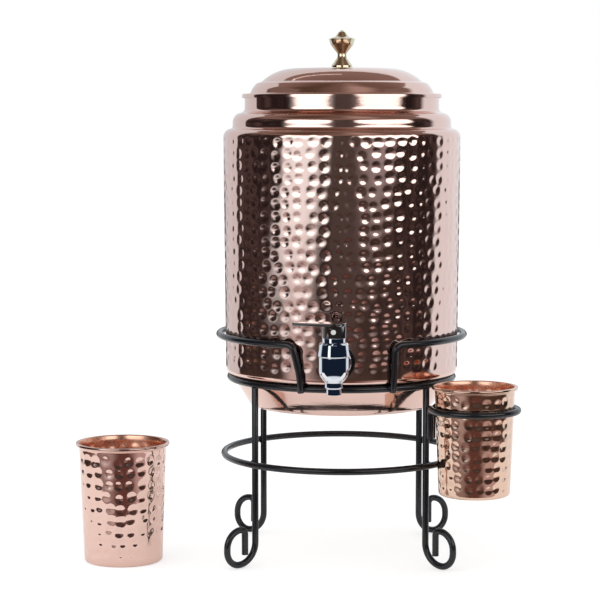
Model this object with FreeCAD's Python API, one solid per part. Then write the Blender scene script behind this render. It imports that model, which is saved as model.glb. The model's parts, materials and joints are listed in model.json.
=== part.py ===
import FreeCAD, Part

import math
import os

# Copper water dispenser on a wire stand, with a hinged-lever tap, a lift-off lid and two tumblers.
# Millimetres and degrees. +Z is up, the stand's open front faces -Y, and the origin is on the floor
# under the vessel's axis. Turned pieces are given by outlines of (radius, height, corner radius).

V = FreeCAD.Vector
UP = V(0, 0, 1)

# Edge rounds of turned and moulded pieces, and how far a cut runs past the face it opens
fine_edge = 0.3
soft_edge = 0.6
cut_overrun = 1.0

# Wire stand
wire_diameter = 5.5
weld_bite = 0.15
support_ring_height = 151.5
lower_ring_height = 85.4
hoop_rise = 36.5
hoop_clearance = 1.05
pan_ring_clearance = 1.05

# Legs: angle from the back axis towards +X, and the way the foot points, then the foot in its own plane
legs = {
    "leg_front_left": (180 + 49.9, 180 + 49.9),
    "leg_front_right": (180 - 46.3, 180 - 46.3),
    "leg_back_left": (-45.6, -54.0),
    "leg_back_right": (47.9, 57.0),
}
foot_length = 29.6
foot_height = 29.05
foot_heel_radius = 17.3
foot_curl_radius = 4.3
foot_tail_offset = 11.0
foot_tail_length = 17.0

# Guard hoop: the angle of each front post at its top and its tip, from the front axis
left_post_angles = (-23.6, -20.4)
right_post_angles = (23.5, 23.6)
hoop_bend_radius = 6.5
hoop_straight = 2.0
post_knee_rise = 11.5
post_knee_lean = 2.2
post_knee_radius = 40.0
post_tip_drop = 2.4

# Cup holder, one bent wire beside the front right leg
holder_heading = 111.6
holder_height = 133.5
holder_foot_height = 107.6
holder_stem_gap = 0.4
holder_weld_bite = 0.03
holder_bend_radius = 6.0
holder_straight = 6.0

# Vessel, spun from sheet
vessel_turn = -3.5
seat_gap = 0.2
copper_sheet = 1.0
body_bottom_radius = 98.4
body_top_radius = 100.2
body_height = 206.05
body_corner_radius = 5.0
shoulder_radius = 7.0
step_radius = 92.3
step_rise = 1.6
step_height = 11.4
step_corner_radius = 8.0
step_valley_radius = 2.5
neck_radius = 82.1
neck_rise = 2.4
neck_height = 13.8
neck_valley_radius = 4.0

# Pressed base pan, hung in the body's lower opening
seat_width = 7.4
pan_fit = 0.2
pan_depth = 27.2
pan_wall_height = 6.0
pan_wall_radius = 12.0
pan_base_radius = 77.5
pan_heel_radius = 6.0

# Lid
lid_gap = 0.3
lid_flange_overhang = 2.3
lid_lip_height = 3.5
lid_lip_radius = 1.4
lid_root_radius = 0.9
lid_ring_fit = 0.7
lid_ring_height = 12.0
lid_foot_radius = 77.7
lid_side_radius = 75.6
lid_side_height = 4.6
lid_side_round = 12.0
lid_shoulder_radius = 72.1
lid_shoulder_height = 8.9
lid_shoulder_round = 5.0
lid_crease_radius = 67.8
lid_crease_height = 10.1
lid_dome_radius = 55.5
lid_dome_height = 20.8
lid_dome_round = 40.0
lid_top_height = 22.1
lid_top_flat = 12.0

# Lid knob and its screw
knob_height = 31.5
knob_foot_radius = 8.9
knob_foot_height = 1.6
knob_waist_radius = 3.8
knob_waist_low = 8.6
knob_waist_high = 11.8
knob_waist_round = 6.0
knob_neck_round = 2.5
knob_cup_radius = 9.5
knob_cup_height = 19.2
knob_cup_round = 6.0
knob_brim_radius = 11.1
knob_brim_height = 24.0
knob_cap_radius = 5.4
knob_cap_height = 26.0
knob_cap_taper = 2.2
knob_cap_shoulder = 29.4
knob_cap_round = 2.2
screw_radius = 2.5
screw_length = 8.0
screw_head_radius = 4.6
screw_head_height = 2.4
screw_head_round = 1.2
screw_slot_width = 1.0
washer_radius = 6.0
washer_thickness = 1.2
thread_clearance = 0.05

# Tap, placed by its level shank
tap_height = 20.45
tap_reach = 45.7
shank_radius = 7.9
shank_hole_clearance = 0.3
shank_bore_radius = 5.0
gasket_radius = 15.2
gasket_thickness = 2.2
inner_gasket_radius = 13.0
inner_gasket_thickness = 2.0
shank_nut_flats = 24.0
shank_nut_thickness = 7.0
shank_nut_round = 1.5
shank_tail = 6.0
tap_flange_radius = 12.5
tap_flange_thickness = 3.0
tap_flange_round = 1.2
tap_arm_radius = 7.6
tap_arm_fillet = 2.5

# Tap body round its upright axis, heights from the shank axis
spout_radius = 5.9
spout_drop = 20.6
spout_bore_radius = 4.2
bead_radius = 7.2
bead_drop = 15.4
bead_height = 4.0
bead_round = 1.2
bead_taper = 0.3
bulb_root_radius = 7.0
bulb_radius = 12.1
bulb_corner_drop = 5.4
bulb_corner_radius = 12.0
bulb_top_rise = 9.4
chamber_radius = 7.6
seat_drop = 6.5
spigot_radius = 9.6
spigot_height = 5.6

# Bonnet nut, swivel collar and stem seal
bonnet_radius = 12.9
bonnet_top_radius = 11.7
bonnet_height = 11.4
bonnet_foot_height = 1.0
bonnet_foot_taper = 0.9
bonnet_crown_height = 1.4
bonnet_crown_taper = 1.3
bonnet_web = 5.0
bonnet_lip = 1.1
collar_radius = 9.5
collar_height = 3.9
collar_gap = 0.15
collar_spigot_radius = 3.9
collar_spigot_depth = 2.2
collar_spigot_fit = 0.1
stem_radius = 2.6
stem_fit = 0.05
seal_squeeze = 0.03

# Valve stem, seat plug and spring
plug_radius = 6.4
plug_height = 8.6
plug_taper = 0.8
plug_gap = 0.15
plug_socket_depth = 6.0
stem_disc_radius = 6.6
stem_disc_thickness = 1.2
spring_wire = 0.9
spring_radius = 5.0
spring_coils = 4.5
spring_points_a_coil = 8
stem_eye_radius = 3.6
stem_eye_width = 5.2

# Lever
lever_length = 33.0
lever_tip_radius = 4.0
lever_hub_radius = 10.0
lever_hub_width = 18.0
lever_hub_corner = 5.0
lever_hub_height = 9.0
lever_toe_radius = 2.5
lever_plate = 2.4
lever_gap = 0.2
pin_radius = 2.0
pin_height = 4.6
pin_fit = 0.05
pin_proud = 0.3
lever_slot_length = 14.0
lever_slot_clearance = 0.35

# Tumblers
tumbler_height = 100.5
tumbler_base_radius = 32.8
tumbler_wall_radius = 36.5
tumbler_rim_radius = 39.3
tumbler_flare_height = 3.6
tumbler_heel_radius = 3.0
tumbler_flare_round = 0.8
tumbler_lip_height = 2.6
tumbler_lip_width = 2.9
tumbler_lip_round = 1.1
held_tumbler_scale = 0.895
held_tumbler_base = 63.3
holder_fit = 0.3
free_tumbler_x = -184.0
free_tumbler_y = -39.0

# Places that follow from the sizes above
wire_radius = wire_diameter / 2
vessel_bottom = support_ring_height + wire_radius + seat_gap
pan_rim_radius = body_bottom_radius - seat_width
support_ring_radius = pan_rim_radius + pan_ring_clearance + wire_radius
lower_ring_radius = support_ring_radius + wire_diameter - weld_bite
hoop_radius = body_top_radius + hoop_clearance + wire_radius
hoop_height = support_ring_height + hoop_rise
shoulder_height = vessel_bottom + body_height
step_bottom = shoulder_height + step_rise
step_top = step_bottom + step_height
neck_bottom = step_top + neck_rise
neck_top = neck_bottom + neck_height
lid_seat = neck_top + lid_gap
lid_flange_radius = neck_radius + lid_flange_overhang
lid_top = lid_seat + copper_sheet + lid_top_height
tap_z = vessel_bottom + tap_height
wall_at_tap = body_bottom_radius + (body_top_radius - body_bottom_radius) * tap_height / body_height
tap_axis = V(0, -wall_at_tap - tap_reach, 0)
bonnet_bottom = tap_z + bulb_top_rise
bonnet_top = bonnet_bottom + bonnet_height
collar_bottom = bonnet_top + collar_gap
collar_top = collar_bottom + collar_height
lever_bottom = collar_top + lever_gap
pin_z = lever_bottom + pin_height
seat_z = tap_z - seat_drop
plug_bottom = seat_z + plug_gap
plug_top = plug_bottom + plug_height
spigot_top = bonnet_bottom + spigot_height


def unit(v):
    """The same direction with length one."""
    return V(v).normalize()


def round_corner(before, corner, after, radius):
    """The arc of this radius that is tangent to both sides of a corner, as its start, middle and end."""
    way_in = unit(corner - before)
    way_out = unit(after - corner)
    turn = way_in.getAngle(way_out)
    reach = radius * math.tan(turn / 2)
    start = corner - way_in * reach
    end = corner + way_out * reach
    inward = unit(way_out - way_in * way_in.dot(way_out))
    centre = start + inward * radius
    middle = centre + unit(corner - centre) * radius
    return start, middle, end


def run_edges(corners, closed=False):
    """Edges along a run of (point, radius) corners, each corner with a radius turned into its tangent arc."""
    count = len(corners)
    stops = []
    arcs = []
    for i, (point, radius) in enumerate(corners):
        inside = closed or 0 < i < count - 1
        if radius and inside:
            before = corners[i - 1][0]
            after = corners[(i + 1) % count][0]
            start, middle, end = round_corner(before, point, after, radius)
            stops.append((start, end))
            arcs.append(Part.Arc(start, middle, end).toShape())
        else:
            stops.append((point, point))
            arcs.append(None)
    edges = []
    for i in range(count):
        if arcs[i]:
            edges.append(arcs[i])
        if i == count - 1 and not closed:
            break
        leave = stops[i][1]
        meet = stops[(i + 1) % count][0]
        if leave.distanceToPoint(meet) > 1e-4:
            edges.append(Part.LineSegment(leave, meet).toShape())
    return edges


def turned(outline, centre=V(0, 0, 0), axis=UP):
    """A solid of revolution from a closed outline of (radius, height, corner radius), on its own axis."""
    corners = [(V(r, 0, z), c) for r, z, c in outline]
    face = Part.Face(Part.Wire(run_edges(corners, closed=True)))
    solid = face.revolve(V(0, 0, 0), UP, 360)
    if axis != UP:
        solid.Placement = FreeCAD.Placement(V(0, 0, 0), FreeCAD.Rotation(UP, axis))
    solid.translate(centre)
    return solid


def sheet_outline(outer, thickness):
    """The closed outline of sheet metal whose outer face follows these corners, the sheet on its left."""
    inner = []
    count = len(outer)
    for i, (r, z, c) in enumerate(outer):
        here = V(r, 0, z)
        back = V(outer[i - 1][0], 0, outer[i - 1][1]) if i else None
        ahead = V(outer[i + 1][0], 0, outer[i + 1][1]) if i < count - 1 else None
        way_in = unit(here - back) if back else unit(ahead - here)
        way_out = unit(ahead - here) if ahead else way_in
        side_in = V(-way_in.z, 0, way_in.x)
        side_out = V(-way_out.z, 0, way_out.x)
        mitre = (side_in + side_out) * (thickness / (1 + side_in.dot(side_out)))
        turn = way_in.x * way_out.z - way_in.z * way_out.x
        inner_corner = max(c - thickness, 0) if turn > 0 else c + thickness
        inner.append((r + mitre.x, z + mitre.z, inner_corner if c else 0))
    return outer + inner[::-1]


def rod(edges, radius=wire_radius):
    """Round wire of this radius along joined edges."""
    path = Part.Wire(edges)
    first = path.Edges[0]
    start = first.valueAt(first.FirstParameter)
    heading = first.tangentAt(first.FirstParameter)
    section = Part.Wire(Part.makeCircle(radius, start, heading))
    return path.makePipeShell([section], True, False)


def cylinder(radius, start, end):
    """A plain cylinder between the middles of its two ends."""
    return Part.makeCylinder(radius, start.distanceToPoint(end), start, end - start)


def compass(radius, angle, z):
    """The point at this radius and height, with the angle turned from the back axis towards +X."""
    return V(radius * math.sin(math.radians(angle)), radius * math.cos(math.radians(angle)), z)


# Stand


def ring(radius, z):
    """A closed ring of the stand's wire."""
    return Part.makeTorus(radius, wire_radius, V(0, 0, z), UP)


def leg(angle, heading):
    """A straight leg under the support ring that ends in a scroll foot curling outwards and back up."""
    post = compass(support_ring_radius, angle, 0)
    top = support_ring_height - wire_diameter + weld_bite + wire_radius
    floor = wire_radius
    crown = wire_radius + foot_height
    toe_radius = foot_length - foot_heel_radius
    crown_radius = foot_length - foot_tail_offset - foot_curl_radius
    scroll = [
        (0, top, 0),
        (0, floor, foot_heel_radius),
        (foot_length, floor, toe_radius),
        (foot_length, crown, crown_radius),
        (foot_tail_offset, crown, foot_curl_radius),
        (foot_tail_offset, crown - foot_curl_radius - foot_tail_length, 0),
    ]
    corners = [(post + compass(u, heading, z), c) for u, z, c in scroll]
    return rod(run_edges(corners))


def hoop_post(angles, side):
    """Corners of one front post, from the hoop's end down to its tip. side is -1 or 1, left or right."""
    top_angle, tip_angle = angles
    lead = hoop_bend_radius + hoop_straight
    end_angle = top_angle + side * math.degrees(math.atan2(lead, hoop_radius))
    end = compass(hoop_radius, 180 - end_angle, hoop_height)
    along = V(math.cos(math.radians(end_angle)), math.sin(math.radians(end_angle)), 0) * -side
    lower_contact = support_ring_radius + wire_diameter - weld_bite
    lean = post_knee_lean / post_knee_rise
    knee = compass(lower_contact + post_knee_lean, 180 - tip_angle, support_ring_height + post_knee_rise)
    tip_radius = lower_contact - lean * post_tip_drop
    tip = compass(tip_radius, 180 - tip_angle, support_ring_height - post_tip_drop)
    return [(end, 0), (end + along * lead, hoop_bend_radius), (knee, post_knee_radius), (tip, 0)]


def guard_hoop():
    """The hoop round the vessel, open at the front, with its two ends bent down into posts."""
    left = hoop_post(left_post_angles, -1)
    right = hoop_post(right_post_angles, 1)
    back = compass(hoop_radius, 0, hoop_height)
    sweep = Part.Arc(left[0][0], back, right[0][0]).toShape()
    return rod(run_edges(left[::-1]) + [sweep] + run_edges(right))


def holder_end(side):
    """Corners of one end of the holder's wire, from its ring to the leg and down it. side is -1 or 1."""
    corner_radius = math.hypot(holder_ring_radius, holder_lead)
    corner_angle = math.degrees(math.asin(holder_stem_side / corner_radius))
    ring_angle = corner_angle + math.degrees(math.atan2(holder_lead, holder_ring_radius))
    to_leg = holder_heading + 180
    end = compass(holder_ring_radius, to_leg + side * ring_angle, holder_height)
    corner = compass(corner_radius, to_leg + side * corner_angle, holder_height)
    foot = compass(corner_radius, to_leg + side * corner_angle, holder_foot_height)
    return [(held_axis + end, 0), (held_axis + corner, holder_bend_radius), (held_axis + foot, 0)]


def cup_holder():
    """One wire: a ring round the tumbler, its two ends bent down side by side against the front right leg."""
    left = holder_end(-1)
    right = holder_end(1)
    far_side = held_axis + compass(holder_ring_radius, holder_heading, holder_height)
    loop = Part.Arc(left[0][0], far_side, right[0][0]).toShape()
    return rod(run_edges(left[::-1]) + [loop] + run_edges(right))


# Vessel


def vessel_outer():
    """Outer face of the body, from its lower opening out round the corner and up over the shoulder."""
    return [
        (pan_rim_radius + pan_fit, vessel_bottom, 0),
        (body_bottom_radius, vessel_bottom, body_corner_radius),
        (body_top_radius, shoulder_height, shoulder_radius),
        (step_radius, step_bottom, step_valley_radius),
        (step_radius, step_top, step_corner_radius),
        (neck_radius, neck_bottom, neck_valley_radius),
        (neck_radius, neck_top, 0),
    ]


def vessel_solid():
    """The space inside the body's outer face, filled."""
    outline = vessel_outer()
    first = outline[0]
    last = outline[-1]
    return turned([(0, first[1], 0)] + outline + [(0, last[1], 0)])


def vessel_shell():
    """The body as sheet, with the hole for the tap's shank."""
    shell = turned(sheet_outline(vessel_outer(), copper_sheet))
    hole = cylinder(
        shank_radius + shank_hole_clearance,
        V(0, -wall_at_tap - copper_sheet - gasket_thickness, tap_z),
        V(0, -wall_at_tap + 3 * copper_sheet, tap_z),
    )
    return shell.cut(hole)


def vessel_base():
    """The pressed pan that closes the bottom, its flange lying on the body's turned-in edge."""
    seam = vessel_bottom + copper_sheet
    floor = seam - pan_depth - copper_sheet
    outer = [
        (0, floor, 0),
        (pan_base_radius, floor, pan_heel_radius),
        (pan_rim_radius, seam - pan_wall_height, pan_wall_radius),
        (pan_rim_radius, seam, 0),
        (body_bottom_radius - body_corner_radius - pan_fit, seam, 0),
    ]
    return turned(sheet_outline(outer, copper_sheet))


# Lid


def lid_shell():
    """The domed lid: raised centre, crease, rounded shoulder, flat flange and turned-down lip."""
    flange = lid_seat + copper_sheet
    outer = [
        (lid_flange_radius, lid_seat + copper_sheet - lid_lip_height, 0),
        (lid_flange_radius, flange, lid_lip_radius),
        (lid_foot_radius, flange, lid_root_radius),
        (lid_side_radius, flange + lid_side_height, lid_side_round),
        (lid_shoulder_radius, flange + lid_shoulder_height, lid_shoulder_round),
        (lid_crease_radius, flange + lid_crease_height, copper_sheet),
        (lid_dome_radius, flange + lid_dome_height, lid_dome_round),
        (lid_top_flat, lid_top, 0),
        (screw_radius + thread_clearance, lid_top, 0),
    ]
    return turned(sheet_outline(outer, copper_sheet))


def lid_inner_ring():
    """The ring under the flange that keeps the lid in the neck."""
    outside = neck_radius - copper_sheet - lid_ring_fit
    inside = outside - copper_sheet
    return turned(
        [
            (inside, lid_seat - lid_ring_height, 0),
            (outside, lid_seat - lid_ring_height, 0),
            (outside, lid_seat, 0),
            (inside, lid_seat, 0),
        ]
    )


def knob():
    """The turned finial: foot, narrow waist, cup with a sharp brim and a small pointed cap."""
    base = lid_top
    outline = [
        (0, base, 0),
        (knob_foot_radius, base, fine_edge),
        (knob_foot_radius, base + knob_foot_height, soft_edge),
        (knob_waist_radius, base + knob_waist_low, knob_waist_round),
        (knob_waist_radius, base + knob_waist_high, knob_neck_round),
        (knob_cup_radius, base + knob_cup_height, knob_cup_round),
        (knob_brim_radius, base + knob_brim_height, fine_edge),
        (knob_cap_radius, base + knob_cap_height, soft_edge),
        (knob_cap_radius - knob_cap_taper, base + knob_cap_shoulder, knob_cap_round),
        (0, base + knob_height, 0),
    ]
    hole = cylinder(
        screw_radius + thread_clearance,
        V(0, 0, base - copper_sheet),
        V(0, 0, base + screw_length + thread_clearance),
    )
    return turned(outline).cut(hole)


def knob_washer():
    """The washer between the screw head and the lid."""
    top = lid_top - copper_sheet
    bottom = top - washer_thickness
    hole = screw_radius + thread_clearance
    return turned(
        [(hole, bottom, 0), (washer_radius, bottom, fine_edge), (washer_radius, top, 0), (hole, top, 0)]
    )


def knob_screw():
    """The slotted pan-head screw that holds the knob from below."""
    seat = lid_top - copper_sheet - washer_thickness
    head = seat - screw_head_height
    outline = [
        (0, head, 0),
        (screw_head_radius, head, screw_head_round),
        (screw_head_radius, seat, 0),
        (screw_radius, seat, 0),
        (screw_radius, lid_top + screw_length, fine_edge),
        (0, lid_top + screw_length, 0),
    ]
    slot = Part.makeBox(4 * screw_head_radius, screw_slot_width, screw_slot_width)
    slot.translate(V(-2 * screw_head_radius, -screw_slot_width / 2, head))
    return turned(outline).cut(slot)


# Tap


def shank_turned(outline):
    """A piece turned on the shank axis, its heights measured outwards from the vessel's axis."""
    return turned(outline, V(0, 0, tap_z), V(0, -1, 0))


def tap_turned(outline):
    """A piece turned on the tap's upright axis."""
    return turned(outline, tap_axis)


def on_tap(x, y, z):
    """A point given from the tap's upright axis."""
    return tap_axis + V(x, y, z)


def tap_body():
    """Bulb, beaded spout, level arm, flange and threaded shank, bored through for the water."""
    outlet = tap_z - spout_drop
    bead = tap_z - bead_drop
    bulb = tap_turned(
        [
            (0, outlet, 0),
            (spout_radius, outlet, fine_edge),
            (spout_radius, bead, soft_edge),
            (bead_radius, bead + bead_taper, bead_round),
            (bead_radius, bead + bead_height, bead_round),
            (bulb_root_radius, bead + bead_height + 2 * bead_taper, fine_edge),
            (bulb_radius, tap_z - bulb_corner_drop, bulb_corner_radius),
            (bulb_radius, bonnet_bottom, fine_edge),
            (spigot_radius - thread_clearance, bonnet_bottom, 0),
            (spigot_radius - thread_clearance, spigot_top, fine_edge),
            (0, spigot_top, 0),
        ]
    )
    flange_back = wall_at_tap + gasket_thickness
    flange_front = flange_back + tap_flange_thickness
    arm_end = wall_at_tap + tap_reach
    shank_end = wall_at_tap - copper_sheet - inner_gasket_thickness - shank_nut_thickness - shank_tail
    arm = shank_turned(
        [
            (0, shank_end, 0),
            (shank_radius, shank_end, soft_edge),
            (shank_radius, flange_back, 0),
            (tap_flange_radius, flange_back, 0),
            (tap_flange_radius, flange_front, tap_flange_round),
            (tap_arm_radius, flange_front, tap_arm_fillet),
            (tap_arm_radius, arm_end, 0),
            (0, arm_end, 0),
        ]
    )
    body = bulb.fuse(arm)
    chamber = cylinder(chamber_radius, on_tap(0, 0, seat_z), on_tap(0, 0, spigot_top + cut_overrun))
    spout_bore = cylinder(
        spout_bore_radius, on_tap(0, 0, outlet - cut_overrun), on_tap(0, 0, seat_z + cut_overrun)
    )
    shank_bore = cylinder(shank_bore_radius, V(0, cut_overrun - shank_end, tap_z), on_tap(0, 0, tap_z))
    return body.cut(chamber.fuse(spout_bore).fuse(shank_bore))


def tap_outer_gasket():
    """Rubber washer outside, its back shaped by the round wall."""
    washer = shank_turned(
        [
            (shank_radius + thread_clearance, wall_at_tap - gasket_radius, 0),
            (gasket_radius, wall_at_tap - gasket_radius, 0),
            (gasket_radius, wall_at_tap + gasket_thickness, soft_edge),
            (shank_radius + thread_clearance, wall_at_tap + gasket_thickness, 0),
        ]
    )
    return washer.cut(vessel_solid())


def tap_inner_gasket():
    """Rubber washer inside, its face shaped by the inside of the wall."""
    face = wall_at_tap - copper_sheet - inner_gasket_thickness
    washer = shank_turned(
        [
            (shank_radius + thread_clearance, face, 0),
            (inner_gasket_radius, face, soft_edge),
            (inner_gasket_radius, wall_at_tap, 0),
            (shank_radius + thread_clearance, wall_at_tap, 0),
        ]
    )
    outer = vessel_outer()
    inner = sheet_outline(outer, copper_sheet)[len(outer) :]
    inside = turned([(0, inner[0][1], 0)] + inner + [(0, inner[-1][1], 0)])
    return washer.common(inside)


def shank_nut():
    """The hexagon nut that clamps the tap to the wall from inside."""
    outer_face = wall_at_tap - copper_sheet - inner_gasket_thickness
    corner = shank_nut_flats / math.sqrt(3)
    points = [
        V(
            corner * math.cos(math.radians(60 * i)),
            -outer_face,
            tap_z + corner * math.sin(math.radians(60 * i)),
        )
        for i in range(7)
    ]
    hexagon = Part.Face(Part.makePolygon(points))
    nut = hexagon.extrude(V(0, shank_nut_thickness, 0))
    rounding = shank_turned(
        [
            (shank_radius + thread_clearance, outer_face - shank_nut_thickness, 0),
            (corner, outer_face - shank_nut_thickness, shank_nut_round),
            (corner, outer_face, shank_nut_round),
            (shank_radius + thread_clearance, outer_face, 0),
        ]
    )
    return nut.common(rounding)


def bonnet_nut():
    """The round cap screwed on the tap body, which holds the seal and carries the collar."""
    seal_floor = bonnet_top - bonnet_web + bonnet_lip
    return tap_turned(
        [
            (spigot_radius, bonnet_bottom, 0),
            (bonnet_radius - bonnet_foot_taper, bonnet_bottom, fine_edge),
            (bonnet_radius, bonnet_bottom + bonnet_foot_height, fine_edge),
            (bonnet_top_radius, bonnet_top - bonnet_crown_height, soft_edge),
            (bonnet_top_radius - bonnet_crown_taper, bonnet_top, fine_edge),
            (collar_spigot_radius + collar_spigot_fit, bonnet_top, 0),
            (collar_spigot_radius + collar_spigot_fit, seal_floor, 0),
            (stem_radius + 4 * stem_fit, seal_floor, 0),
            (stem_radius + 4 * stem_fit, bonnet_top - bonnet_web, 0),
            (spigot_radius, bonnet_top - bonnet_web, 0),
        ]
    )


def stem_seal():
    """The O-ring round the stem, below the collar's spigot."""
    inside = stem_radius + seal_squeeze
    outside = collar_spigot_radius + collar_spigot_fit - seal_squeeze
    section = (outside - inside) / 2
    z = bonnet_top - bonnet_web + bonnet_lip + section
    return Part.makeTorus((inside + outside) / 2, section, on_tap(0, 0, z), UP)


def swivel_collar():
    """The bright ring under the lever, on which the lever turns and rocks."""
    hole = stem_radius + stem_fit
    return tap_turned(
        [
            (hole, bonnet_top - collar_spigot_depth, 0),
            (collar_spigot_radius, bonnet_top - collar_spigot_depth, fine_edge),
            (collar_spigot_radius, collar_bottom, 0),
            (collar_radius, collar_bottom, fine_edge),
            (collar_radius, collar_top, soft_edge),
            (hole, collar_top, 0),
        ]
    )


def valve_stem():
    """The rod that lifts the plug: socket end, spring disc, shaft and the eye for the pin."""
    disc_top = plug_top + stem_disc_thickness
    rod_shape = tap_turned(
        [
            (0, plug_top - plug_socket_depth, 0),
            (stem_radius, plug_top - plug_socket_depth, fine_edge),
            (stem_radius, plug_top, 0),
            (stem_disc_radius, plug_top, fine_edge),
            (stem_disc_radius, disc_top, fine_edge),
            (stem_radius, disc_top, 0),
            (stem_radius, pin_z, 0),
            (0, pin_z, 0),
        ]
    )
    half = stem_eye_width / 2
    eye = cylinder(stem_eye_radius, on_tap(0, -half, pin_z), on_tap(0, half, pin_z))
    hole = cylinder(pin_radius + pin_fit, on_tap(0, -2 * half, pin_z), on_tap(0, 2 * half, pin_z))
    return rod_shape.fuse(eye).cut(hole)


def seat_plug():
    """The soft plug on the stem's foot, which closes the seat above the spout."""
    return tap_turned(
        [
            (0, plug_bottom, 0),
            (plug_radius - plug_taper, plug_bottom, soft_edge),
            (plug_radius, plug_top, soft_edge),
            (stem_radius, plug_top, 0),
            (stem_radius, plug_top - plug_socket_depth, 0),
            (0, plug_top - plug_socket_depth, 0),
        ]
    )


def valve_spring():
    """The coil spring that holds the plug down, between the stem's disc and the bonnet."""
    low = plug_top + stem_disc_thickness + spring_wire / 2
    high = bonnet_top - bonnet_web - spring_wire / 2
    count = round(spring_coils * spring_points_a_coil)
    points = []
    for i in range(count + 1):
        turn = 2 * math.pi * spring_coils * i / count
        z = low + (high - low) * i / count
        points.append(on_tap(spring_radius * math.cos(turn), spring_radius * math.sin(turn), z))
    coil = Part.BSplineCurve()
    coil.interpolate(points)
    return rod([coil.toShape()], spring_wire / 2)


def lever():
    """Flat blade on a square hub, slotted below for the stem's eye and bored for the pin."""
    hub_top = lever_bottom + lever_hub_height
    plate_top = hub_top + lever_plate
    tip = lever_tip_radius - lever_length
    lean = math.asin((lever_hub_radius - lever_tip_radius) / -tip)
    hub_touch = V(-lever_hub_radius * math.sin(lean), lever_hub_radius * math.cos(lean), 0)
    tip_touch = V(tip - lever_tip_radius * math.sin(lean), lever_tip_radius * math.cos(lean), 0)
    near = V(hub_touch.x, -hub_touch.y, 0)
    tip_near = V(tip_touch.x, -tip_touch.y, 0)
    outline = Part.Wire(
        [
            Part.Arc(near, V(lever_hub_radius, 0, 0), hub_touch).toShape(),
            Part.LineSegment(hub_touch, tip_touch).toShape(),
            Part.Arc(tip_touch, V(-lever_length, 0, 0), tip_near).toShape(),
            Part.LineSegment(tip_near, near).toShape(),
        ]
    )
    blade = Part.Face(outline).extrude(V(0, 0, lever_plate))
    blade.translate(on_tap(0, 0, hub_top))
    rims = [e for e in blade.Edges if e.BoundBox.ZMin > plate_top - 1e-4]
    blade = blade.makeFillet(lever_plate / 3, rims)
    long_half = lever_hub_radius
    deep_half = lever_hub_width / 2
    side = [
        (V(-long_half, -deep_half, 0), lever_hub_corner),
        (V(long_half, -deep_half, 0), lever_hub_corner),
        (V(long_half, deep_half, 0), lever_hub_corner),
        (V(-long_half, deep_half, 0), lever_hub_corner),
    ]
    block = Part.Face(Part.Wire(run_edges(side, closed=True))).extrude(V(0, 0, lever_hub_height))
    block.translate(on_tap(0, 0, lever_bottom))
    front = [
        (on_tap(-long_half, -deep_half, lever_bottom), lever_toe_radius),
        (on_tap(long_half, -deep_half, lever_bottom), 0),
        (on_tap(long_half, -deep_half, hub_top), 0),
        (on_tap(-long_half, -deep_half, hub_top), 0),
    ]
    toe = Part.Face(Part.Wire(run_edges(front, closed=True))).extrude(V(0, lever_hub_width, 0))
    hub = block.common(toe)
    slot_top = pin_height + stem_eye_radius + lever_slot_clearance
    slot_width = stem_eye_width + 2 * lever_slot_clearance
    slot = Part.makeBox(lever_slot_length, slot_width, slot_top + cut_overrun)
    slot.translate(on_tap(-lever_slot_length / 2, -slot_width / 2, lever_bottom - cut_overrun))
    bore = cylinder(pin_radius, on_tap(0, -lever_hub_width, pin_z), on_tap(0, lever_hub_width, pin_z))
    return blade.fuse(hub).cut(slot).cut(bore)


def lever_pin():
    """The cross pin, tight in the lever and free in the stem's eye."""
    half = lever_hub_width / 2 + pin_proud
    pin = cylinder(pin_radius, on_tap(0, -half, pin_z), on_tap(0, half, pin_z))
    return pin.makeFillet(pin_proud, [e for e in pin.Edges if e.isClosed() and e.Length < 7 * pin_radius])


# Tumblers


def tumbler(scale, x, y, z):
    """A tumbler of this scale, its base at this point. Its sheet and rolled lip are the same at any scale."""
    rim = tumbler_rim_radius * scale
    top = tumbler_height * scale
    wall_top = (tumbler_height - tumbler_flare_height) * scale
    section = sheet_outline(
        [
            (0, 0, 0),
            (tumbler_base_radius * scale, 0, tumbler_heel_radius),
            (tumbler_wall_radius * scale, wall_top, tumbler_flare_round),
        ],
        copper_sheet,
    )
    section[3:3] = [
        (rim, top - tumbler_lip_height, tumbler_lip_round),
        (rim, top, tumbler_lip_round),
        (rim - tumbler_lip_width, top, tumbler_lip_round),
    ]
    cup = turned(section)
    cup.translate(V(x, y, z))
    return cup


def held_radius_at(z):
    """Outer radius of the held tumbler at this height above its base: its straight wall's, or its lip's."""
    if z > tumbler_height * held_tumbler_scale - tumbler_lip_height:
        return tumbler_rim_radius * held_tumbler_scale
    low = tumbler_base_radius * held_tumbler_scale
    high = tumbler_wall_radius * held_tumbler_scale
    return low + (high - low) * z / ((tumbler_height - tumbler_flare_height) * held_tumbler_scale)


holder_top = holder_height + wire_radius - held_tumbler_base
holder_ring_radius = held_radius_at(holder_top) + holder_fit + wire_radius
holder_stem_side = (wire_diameter + holder_stem_gap) / 2
holder_lead = holder_bend_radius + holder_straight
stem_reach = math.sqrt(holder_ring_radius**2 + holder_lead**2 - holder_stem_side**2)
leg_reach = stem_reach + math.sqrt((wire_diameter - holder_weld_bite) ** 2 - holder_stem_side**2)
held_axis = compass(support_ring_radius, legs["leg_front_right"][0], 0)
held_axis += compass(leg_reach, holder_heading, 0)
print(f"held tumbler at x {held_axis.x:.2f} y {held_axis.y:.2f}, holder ring radius {holder_ring_radius:.2f}")

on_stand = {
    "support_ring": ring(support_ring_radius, support_ring_height),
    "guard_hoop": guard_hoop(),
    "lower_ring": ring(lower_ring_radius, lower_ring_height),
    "cup_holder": cup_holder(),
    "tumbler_held": tumbler(held_tumbler_scale, held_axis.x, held_axis.y, held_tumbler_base),
    "tumbler_free": tumbler(1, free_tumbler_x, free_tumbler_y, 0),
}
for name, (angle, heading) in legs.items():
    on_stand[name] = leg(angle, heading)

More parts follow.
